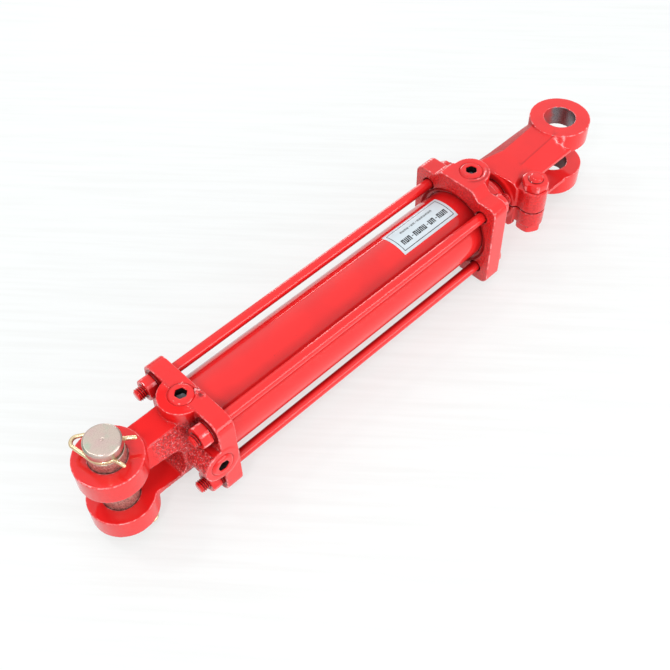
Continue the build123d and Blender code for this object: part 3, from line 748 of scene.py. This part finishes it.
def hex_nut(name, across_flats, height, hole_radius, matrix, bevel=0.8):
    """Hexagon nut with turned corners on both faces and a bevelled hole."""
    steps = HEX_STEPS
    hexagon, face_radius, drop = turned_hexagon(across_flats)
    rounding = 0.25
    rings = [
        circle(hole_radius, bevel, steps),
        circle(hole_radius + bevel, 0.0, steps),
        circle(face_radius - rounding, 0.0, steps),
        circle(face_radius, 0.05, steps),
        circle(hexagon - rounding * 0.5, drop, steps),
        circle(hexagon, drop + rounding, steps),
        circle(hexagon, height - drop - rounding, steps),
        circle(hexagon - rounding * 0.5, height - drop, steps),
        circle(face_radius, height - 0.05, steps),
        circle(face_radius - rounding, height, steps),
        circle(hole_radius + bevel, height, steps),
        circle(hole_radius, height - bevel, steps),
    ]
    nut = ring_object(name, rings, matrix, closed=True, smooth_angle=28)
    # Painted highlight down the hexagon's corners.
    corner = smoothstep(0.965, 0.995, hexagon / hexagon.max())
    edge = np.concatenate([corner * 0.9 if 3 < ring < 8 else corner * 0 for ring in range(len(rings))])
    attribute(nut, "rim", edge)
    return nut


def joined(name, objects):
    """One object from several, with their meshes merged."""
    work = bmesh.new()
    for obj in objects:
        work.from_mesh(obj.data)
    mesh = bpy.data.meshes.new(name)
    work.to_mesh(mesh)
    work.free()
    result = bpy.data.objects.new(name, mesh)
    bpy.context.scene.collection.objects.link(result)
    for obj in objects:
        bpy.data.objects.remove(obj)
    return result


def solid_boxes(node):
    """Boxes, in millimetres, of the separate solids in a CAD node."""
    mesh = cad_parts[node].data
    points = np.array([v.co for v in mesh.vertices]) / MM
    keys = np.round(points, 3)
    _, same = np.unique(keys, axis=0, return_inverse=True)
    parent = list(range(same.max() + 1))

    def root(i):
        while parent[i] != i:
            parent[i] = parent[parent[i]]
            i = parent[i]
        return i

    for edge in mesh.edges:
        a, b = root(same[edge.vertices[0]]), root(same[edge.vertices[1]])
        parent[a] = b
    groups = np.array([root(i) for i in same])
    return [
        (points[groups == g].min(0), points[groups == g].max(0)) for g in sorted(set(groups))
    ]


def tie_rods():
    """Four threaded bars, each slid along X to where it sits on this cylinder."""
    nodes = [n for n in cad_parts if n.startswith("tie_rod_")]
    for node in sorted(nodes):
        low, high = box_mm(node)
        centre = (low + high) / 2
        major = (high[2] - low[2]) / 2
        length = high[0] - low[0]
        matrix = on_x(low[0] + STUD_SHIFTS[node], centre[1], centre[2], 40 * len(node))
        bar = threaded_bar(node + "_bar", length, major - 0.56, major, (24, 24), matrix)
        finish_piece(bar, "barrel", PAINT, "red_paint", node)


def tie_rod_nuts(node, turn):
    """The node's four nuts, all turned by one angle."""
    nuts = []
    for index, (low, high) in enumerate(solid_boxes(node)):
        centre = (low + high) / 2
        height = high[0] - low[0]
        matrix = on_x(low[0], centre[1], centre[2], turn)
        nuts.append(hex_nut(f"{node}_{index}", NUT_FLATS, height, 4.8, matrix))
    piece = joined(node + "_turned", nuts)
    tidy_normals(piece, 28)
    finish_piece(piece, "barrel", PAINT, "red_paint", node)


# ---- port plugs
def port_plug(node, axis):
    """Pipe plug with a turned edge and a hexagon socket that ends in a drill cone."""
    low, high = box_mm(node)
    centre = (low + high) / 2
    length = high[axis] - low[axis]
    radius = (high[0] - low[0]) / 2
    steps = HEX_STEPS
    socket = hex_radii(8.0, steps, 0.2)
    outer = rounded(
        [
            (0.0, -length),
            (radius - 1.2, -length),
            (radius, -length + 1.2),
            (radius, -2.7),
            (radius + 0.75, -1.95),
            (radius + 0.25, -1.35),
            (radius - 0.2, -0.8),
            (radius - 1.3, 0.0),
            (radius - 2.6, -0.05),
            (radius - 3.0, -0.05),
        ],
        0.7,
        5,
    )
    rings = [circle(outline_radius, height, steps) for outline_radius, height in outer]
    rings.append(circle(socket + 0.55, -0.05, steps))
    rings.append(circle(socket + 0.15, -0.25, steps))
    rings.append(circle(socket, -0.7, steps))
    rings.append(circle(socket, -6.6, steps))
    rings.append(circle(3.9, -6.8, steps))
    rings.append(circle(0, -8.4, steps))
    if axis == 2:
        matrix = on_z(centre[0], centre[1], high[2], 12)
    else:
        tilt = Matrix.Rotation(math.radians(90), 4, "X") @ Matrix.Rotation(math.radians(20), 4, "Z")
        matrix = Matrix.Translation((centre[0], low[1], centre[2])) @ tilt
    plug = ring_object(node + "_turned", rings, matrix, smooth_angle=32)
    finish_piece(plug, "barrel", PAINT, "red_paint", node)
    plug.data.materials.append(SOCKET_WALL_SHADE)
    plug.data.materials.append(SOCKET_FLOOR)
    # Painted shade: the socket's walls take the near-black steel and its floor the dim grey.
    local = matrix.inverted()
    for polygon in plug.data.polygons:
        place = local @ (Vector(polygon.center) / MM)
        if math.hypot(place.x, place.y) < 4.5 and place.z < -1.4:
            polygon.material_index = 2 if place.z < -6.6 else 1


# ---- tube, rod and gland
def tube_piece():
    """Barrel tube with a smooth round wall."""
    length = barrel_high[0] - barrel_low[0]
    bore = 25.4
    edge = 0.4
    profile = [
        (bore, edge), (bore + edge, 0), (tube_radius - edge, 0), (tube_radius, edge),
        *[(tube_radius, edge + (length - 2 * edge) * i / 12) for i in range(1, 12)],
        (tube_radius, length - edge), (tube_radius - edge, length), (bore + edge, length),
        (bore, length - edge),
    ]
    piece = lathe_ring("tube_turned", profile, 160, on_x(barrel_low[0]))
    finish_piece(piece, "barrel", PAINT, "red_paint", "tube")


def piston_rod_piece():
    """Chromed rod with its shoulder, stud and screwed end; the strip outside the gland is painted over."""
    start, end = rod_low[0], rod_high[0]
    front = box_mm("piston")[1][0]
    paint_start, paint_end = head_front_x + 0.4, clevis_rear_x + 1.5
    neck = end - 24.5
    profile = rounded(
        [
            (0, 0),
            (8.5, 0),
            (9.5, 1.0),
            (9.5, front - start),
            (rod_radius, front - start),
            (rod_radius, paint_start - start),
            (rod_radius, paint_end - start),
            (rod_radius, neck - start),
            (rod_radius - 0.3, neck - start),
            (rod_radius - 0.3, end - start - 1.5),
            (rod_radius - 1.8, end - start),
            (0, end - start),
        ],
        0.3,
    )
    piece = lathe("piston_rod_turned", profile, 160, on_x(start))
    finish_piece(piece, "rod", CHROME, "chrome", "piston_rod")
    piece.data.materials.append(PAINT)
    for polygon in piece.data.polygons:
        if mm(paint_start) < polygon.center[0] < mm(paint_end):
            polygon.material_index = 1


# ---- base pin and clips
def base_pin_piece():
    """Zinc plated pin with a groove near each end and a centre mark in its top."""
    length = pin_high[2] - pin_low[2]
    upper_groove = 43.0 - pin_low[2]
    lower_groove = -35.5 - pin_low[2]
    root, half = 10.15, 1.55
    chamfer = 1.2
    corners = [(0, 0), (pin_radius - chamfer, 0), (pin_radius, chamfer)]
    for groove in (lower_groove, upper_groove):
        corners += [
            (pin_radius, groove - half),
            (root, groove - half),
            (root, groove + half),
            (pin_radius, groove + half),
        ]
    corners += [(pin_radius, length - chamfer), (pin_radius - chamfer, length)]
    corners += [(1.3, length), (0, length - 0.9)]
    outline = rounded(corners, 0.35)
    rings = []
    for (r1, h1), (r2, h2) in zip(outline, outline[1:]):
        pieces = max(1, int(math.hypot(r2 - r1, h2 - h1) / 0.8))
        for i in range(pieces):
            t = i / pieces
            rings.append((r1 + (r2 - r1) * t, h1 + (h2 - h1) * t))
    rings.append(outline[-1])
    steps = 128
    piece = ring_object("base_pin_turned", [circle(r, h, steps) for r, h in rings], on_z(0, 0, pin_low[2]))
    points = coordinates(piece)
    side = smoothstep(pin_radius - 0.6, pin_radius - 0.2, np.hypot(points[:, 0], points[:, 1]))
    worn = side * (1 - smoothstep(40.0, 41.0, points[:, 2])) * smoothstep(-41.5, -40.5, points[:, 2])
    grain = 0.6 * lumps(points, 0.9, 41) + 0.4 * lumps(points, 1.8, 42)
    radial = points * [1, 1, 0] / np.maximum(1e-6, np.hypot(points[:, 0], points[:, 1]))[:, None]
    from_middle = np.abs(points[:, 2])
    in_ear = smoothstep(13.5, 14.5, from_middle) * (1 - smoothstep(31.5, 32.5, from_middle))
    depth = 0.09 * worn * (1 - in_ear) * (grain - 1)
    set_coordinates(piece, points + radial * depth[:, None])
    attribute(piece, "rough", worn)
    finish_piece(piece, "pin", PIN_ZINC, "zinc_pin", "base_pin")


def wire_along(name, path, radius, matrix, steps=20):
    """Round wire with domed ends along a smooth list of points in local XY."""
    path = np.array(path, float)
    tangents = np.gradient(path, axis=0)
    tangents /= np.linalg.norm(tangents, axis=1)[:, None]
    up = np.array([0, 0, 1.0])
    angles = np.arange(steps) * TURN / steps
    dome = [(0.5, -0.87), (0.87, -0.5)]

    def ring(centre, tangent, scale):
        side = np.cross(up, tangent)
        circle_points = np.outer(np.cos(angles), side) + np.outer(np.sin(angles), up)
        return centre + circle_points * radius * scale

    rings = [ring(path[0] + tangents[0] * radius * z, tangents[0], s) for s, z in dome]
    rings.insert(0, (path[0] - tangents[0] * radius)[None, :])
    rings += [ring(p, t, 1.0) for p, t in zip(path, tangents)]
    rings += [ring(path[-1] - tangents[-1] * radius * z, tangents[-1], s) for s, z in reversed(dome)]
    rings.append((path[-1] + tangents[-1] * radius)[None, :])
    return ring_object(name, rings, matrix)


def clip_path():
    """Centre line of a clip in its own plane: loop on -X, legs round the pin, bent tips on +X."""
    wrap, loop, distance = 11.65, 4.5, 17.4
    tangent = math.radians(90) + math.asin((wrap - loop) / distance)
    tip_angle = math.radians(42)
    tip_end = np.array([18.2 - 1.4, 11.0 - 0.5])

    def arc(radius, centre, start, end, count):
        angles = np.linspace(start, end, count)
        return [(centre + radius * math.cos(a), radius * math.sin(a)) for a in angles]

    def bent(points, reach=2.6, count=7):
        """Turns the corner at points[1] into a curve."""
        before, corner, after = (np.array(p, float) for p in points)
        start = corner + (before - corner) / np.linalg.norm(before - corner) * reach
        end = corner + (after - corner) / np.linalg.norm(after - corner) * reach
        ts = np.linspace(0, 1, count)
        return [tuple(start * (1 - t) ** 2 + corner * 2 * t * (1 - t) + end * t * t) for t in ts]

    half = arc(loop, -distance, math.pi, tangent, 14)
    half += arc(wrap, 0.0, tangent, tip_angle + 0.22, 30)
    corner = (wrap * math.cos(tip_angle), wrap * math.sin(tip_angle))
    half += bent([half[-1], corner, tip_end], 2.0)
    last = np.array(half[-1])
    half += [tuple(last + (tip_end - last) * t) for t in (0.3, 0.6, 1.0)]
    other = [(x, -y) for x, y in half]
    return [(x, y, 0.0) for x, y in list(reversed(other)) + half[1:]]


def pin_clips():
    """The two wire clips, each at its height on the pin and turned its own way."""
    places = {"upper_pin_clip": ("upper_clip", 43.0, -56.5), "lower_pin_clip": ("lower_clip", -35.5, 118.0)}
    for node, (body, z, heading) in places.items():
        piece = wire_along(node + "_wire", clip_path(), 1.4, on_z(0, 0, z, heading))
        finish_piece(piece, body, WIRE_ZINC, "zinc_wire", node)


# ---- clamp bolt
def clamp_hardware():
    """Bolt and nut that squeeze the rod clevis's split boss."""
    nut_low, nut_high = box_mm("clamp_nut")
    centre = (bolt_low + bolt_high) / 2
    seat = bolt_low[2] + BOLT_HEAD_HEIGHT
    across_flats = bolt_high[1] - bolt_low[1]
    shank_radius = CLAMP_BOLT_RADIUS
    bar = threaded_bar(
        "clamp_bolt_shank",
        bolt_high[2] - seat - 1.4,
        shank_radius - 0.1,
        shank_radius,
        (0, 14),
        on_z(centre[0], centre[1], seat),
    )
    tip = [(0, -2.0), (shank_radius - 0.9, -2.0), (shank_radius - 1.0, 0.1), (3.2, 1.2), (0, 1.4)]
    tip_place = on_z(centre[0], centre[1], bolt_high[2] - 1.4)
    dome = lathe("clamp_bolt_tip", rounded(tip, 0.9), 48, tip_place)
    steps = HEX_STEPS
    hexagon, face_radius, drop = turned_hexagon(across_flats)
    head_rings = [
        circle(0, 0, steps),
        circle(face_radius - 0.3, 0.0, steps),
        circle(face_radius, 0.06, steps),
        circle(hexagon - 0.1, drop, steps),
        circle(hexagon, drop + 0.25, steps),
        circle(hexagon, BOLT_HEAD_HEIGHT - 0.2, steps),
        circle(hexagon - 0.2, BOLT_HEAD_HEIGHT, steps),
        circle(0, BOLT_HEAD_HEIGHT, steps),
    ]
    head_place = on_z(centre[0], centre[1], bolt_low[2])
    bolt_head = ring_object("clamp_bolt_head", head_rings, head_place, smooth_angle=28)
    bolt = joined("clamp_bolt_turned", [bar, dome, bolt_head])
    tidy_normals(bolt, 40)
    finish_piece(bolt, "rod", PAINT, "red_paint", "clamp_bolt")
    nut_place = on_z(centre[0], centre[1], nut_low[2], 20)
    nut_height = nut_high[2] - nut_low[2]
    nut = hex_nut("clamp_nut_turned", across_flats, nut_height, shank_radius + 0.04, nut_place, 0.2)
    finish_piece(nut, "rod", PAINT, "red_paint", "clamp_nut")


# ---- label
def print_row(start, end, low, high, count, thin):
    """Row of upright blocks in place of lettering; the places listed in thin hold a short dash."""
    pitch = (end - start) / count
    middle, blocks = (low + high) / 2, []
    for i in range(count):
        left = start + i * pitch
        if i in thin:
            blocks.append((left + pitch * 0.25, left + pitch * 0.72, middle - 0.4, middle + 0.4))
        else:
            bar = low if i % 2 else high - 1.2
            blocks.append((left, left + pitch * 0.34, low, high))
            blocks.append((left + pitch * 0.50, left + pitch * 0.84, low, high))
            blocks.append((left + pitch * 0.34, left + pitch * 0.50, bar, bar + 1.2))
    return blocks


def printed(u, v, blocks):
    """Whether a place on the label lies in one of the blocks."""
    return any(u0 < u < u1 and v0 < v < v1 for u0, u1, v0, v1 in blocks)


def label_piece():
    """Sticker on the tube with a printed border and rows of plain blocks in place of lettering."""
    low, high = box_mm("label")
    length = high[0] - low[0]
    radius = high[2]
    half_width = radius * math.radians(24.5)
    inset, line = 2.3, 0.6
    strips = [
        (inset, length - inset, -half_width + inset, -half_width + inset + line),
        (inset, length - inset, half_width - inset - line, half_width - inset),
        (inset, inset + line, -half_width + inset, half_width - inset),
        (length - inset - line, length - inset, -half_width + inset, half_width - inset),
    ]
    bars = print_row(5.8, 54.8, -6.2, -1.5, 15, (3, 8, 11))
    small = print_row(11.7, 46.8, 3.3, 5.3, 15, (4, 7))
    u_breaks = {0.0, length}
    v_breaks = set(np.linspace(-half_width, half_width, 41))
    for u0, u1, v0, v1 in strips + bars + small:
        u_breaks |= {u0, u1}
        v_breaks |= {v0, v1}
    us, vs = sorted(u_breaks), sorted(v_breaks)
    thickness = 0.12

    def place(u, v, r):
        angle = v / radius
        return (low[0] + u, r * math.sin(angle), r * math.cos(angle))

    points = [place(u, v, radius) for u in us for v in vs]
    points += [place(u, v, radius - thickness) for u in us for v in vs]
    count, layer = len(vs), len(us) * len(vs)
    faces, ink = [], []
    for i in range(len(us) - 1):
        for j in range(len(vs) - 1):
            a, b = i * count + j, (i + 1) * count + j
            faces.append([a, b, b + 1, a + 1])
            faces.append([layer + a, layer + a + 1, layer + b + 1, layer + b])
            u, v = (us[i] + us[i + 1]) / 2, (vs[j] + vs[j + 1]) / 2
            ink += [1 if printed(u, v, strips + bars) else 2 if printed(u, v, small) else 0, 0]
    rim = [i * count for i in range(len(us))] + [layer - count + j for j in range(1, count)]
    rim += [i * count + count - 1 for i in range(len(us) - 2, -1, -1)] + list(range(count - 2, 0, -1))
    for a, b in zip(rim, rim[1:] + rim[:1]):
        faces.append([a, b, layer + b, layer + a])
        ink.append(0)
    piece = new_object("label_film", points, faces)
    finish_piece(piece, "barrel", LABEL_WHITE, "label_paper", "label")
    piece.data.materials.append(LABEL_INK)
    piece.data.materials.append(LABEL_GREY_INK)
    for polygon, index in zip(piece.data.polygons, ink):
        polygon.material_index = index


# ---- carried-over CAD nodes
CAD_MATERIALS = {
    # The lock washers and the painted-over wiper take the darkened enamel, as painted shade where they sit
    # in gaps.
    "base_lock_washers": PAINT_DARKENED_AS_SHADE,
    "base_tube_o_ring": RUBBER,
    "head_tube_o_ring": RUBBER,
    "piston_o_ring": RUBBER,
    "base_tube_backup_ring": GUIDE_PLASTIC,
    "head_tube_backup_ring": GUIDE_PLASTIC,
    "piston_wear_ring": GUIDE_PLASTIC,
    "rod_bushing": BRONZE,
    "rod_seal": POLYURETHANE,
    "rod_wiper": PAINT_DARKENED_AS_SHADE,
    "piston_seal": POLYURETHANE,
    "piston": PISTON_IRON,
    "piston_nut": BARE_STEEL,
}


def paint_cad_nodes():
    """Materials for the nodes that keep their CAD shape."""
    for node, material in CAD_MATERIALS.items():
        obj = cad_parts[node]
        obj.data.materials.clear()
        obj.data.materials.append(material)


# ---- stage, light and camera
def stage():
    """Floor just under the base pin."""
    floor_z = -44.0
    size = 4000.0
    ends = ((-size, -size), (size, -size), (size, size), (-size, size))
    floor = new_object("floor", [(x, y, floor_z) for x, y in ends], [[0, 1, 2, 3]])
    floor.data.materials.append(floor_board("pale_floor"))


def area_light(name, place, aim, size, power):
    """Rectangular lamp at a place, facing another."""
    data = bpy.data.lights.new(name, "AREA")
    data.shape = "RECTANGLE"
    data.size, data.size_y = (mm(s) for s in size)
    data.energy = power
    light = bpy.data.objects.new(name, data)
    bpy.context.scene.collection.objects.link(light)
    light.location = Vector(place) * MM
    light.rotation_euler = (Vector(aim) - Vector(place)).to_track_quat("-Z", "Y").to_euler()


def lights():
    """Bright ceiling over a darker horizon, a wide lamp low on the near side and a small window far off."""
    world = bpy.data.worlds.new("studio")
    world.use_nodes = True
    tree = world.node_tree
    background = tree.nodes["Background"]
    background.inputs["Color"].default_value = (0.97, 0.985, 1.0, 1)
    direction = tree.nodes.new("ShaderNodeTexCoord")
    parts = tree.nodes.new("ShaderNodeSeparateXYZ")
    height = tree.nodes.new("ShaderNodeMapRange")
    height.interpolation_type = "SMOOTHSTEP"
    for key, value in {"From Min": 0.02, "From Max": 0.45, "To Min": 0.25, "To Max": 1.05}.items():
        height.inputs[key].default_value = value
    path = tree.nodes.new("ShaderNodeLightPath")
    strength = tree.nodes.new("ShaderNodeMix")
    strength.inputs["B"].default_value = 0.93
    tree.links.new(direction.outputs["Generated"], parts.inputs[0])
    tree.links.new(parts.outputs["Z"], height.inputs["Value"])
    tree.links.new(path.outputs["Is Camera Ray"], strength.inputs["Factor"])
    tree.links.new(height.outputs["Result"], strength.inputs["A"])
    tree.links.new(strength.outputs["Result"], background.inputs["Strength"])
    bpy.context.scene.world = world
    area_light("near_side", (350, -1150, 330), (200, 0, 0), (1500, 420), 9.0)
    area_light("far_window", (960, 1070, 220), (300, 0, 20), (620, 260), 3.0)
    area_light("behind_camera", (-620, -420, 1000), (150, 0, 0), (170, 170), 3.4)
    area_light("ceiling_spot", (-150, 500, 1100), (150, 0, 0), (120, 120), 1.4)


def camera():
    """Looks down on the cylinder from beyond its base clevis, on the side port's side."""
    target = Vector((187.1, -13.7, 0.0))
    distance = 727.2
    heading, elevation, roll = (math.radians(a) for a in (46.73, 51.27, -1.66))
    # As a share of the image's width.
    focal_length = 1.486418
    level = math.cos(elevation)
    forward = Vector((level * math.cos(heading), level * math.sin(heading), -math.sin(elevation)))
    data = bpy.data.cameras.new("camera")
    data.sensor_width = 36.0
    data.lens = focal_length * data.sensor_width
    data.clip_start, data.clip_end = 0.01, 50
    obj = bpy.data.objects.new("camera", data)
    bpy.context.scene.collection.objects.link(obj)
    level_right = Vector((math.sin(heading), -math.cos(heading), 0))
    level_up = level_right.cross(forward)
    right = math.cos(roll) * level_right + math.sin(roll) * level_up
    up = math.cos(roll) * level_up - math.sin(roll) * level_right
    rotation = Matrix((right, up, -forward)).transposed()
    obj.matrix_world = Matrix.Translation((target - forward * distance) * MM) @ rotation.to_4x4()
    bpy.context.scene.camera = obj


base_cap_piece()
head_piece()
rod_clevis_piece()
tube_piece()
tie_rods()
tie_rod_nuts("base_tie_rod_nuts", 5.4)
tie_rod_nuts("head_tie_rod_nuts", 22)
for plug_node, plug_axis in PORT_NODES.items():
    port_plug(plug_node, plug_axis)
piston_rod_piece()
base_pin_piece()
pin_clips()
clamp_hardware()
label_piece()
paint_cad_nodes()
stage()
lights()
camera()
bpy.context.scene.view_settings.view_transform = "Standard"
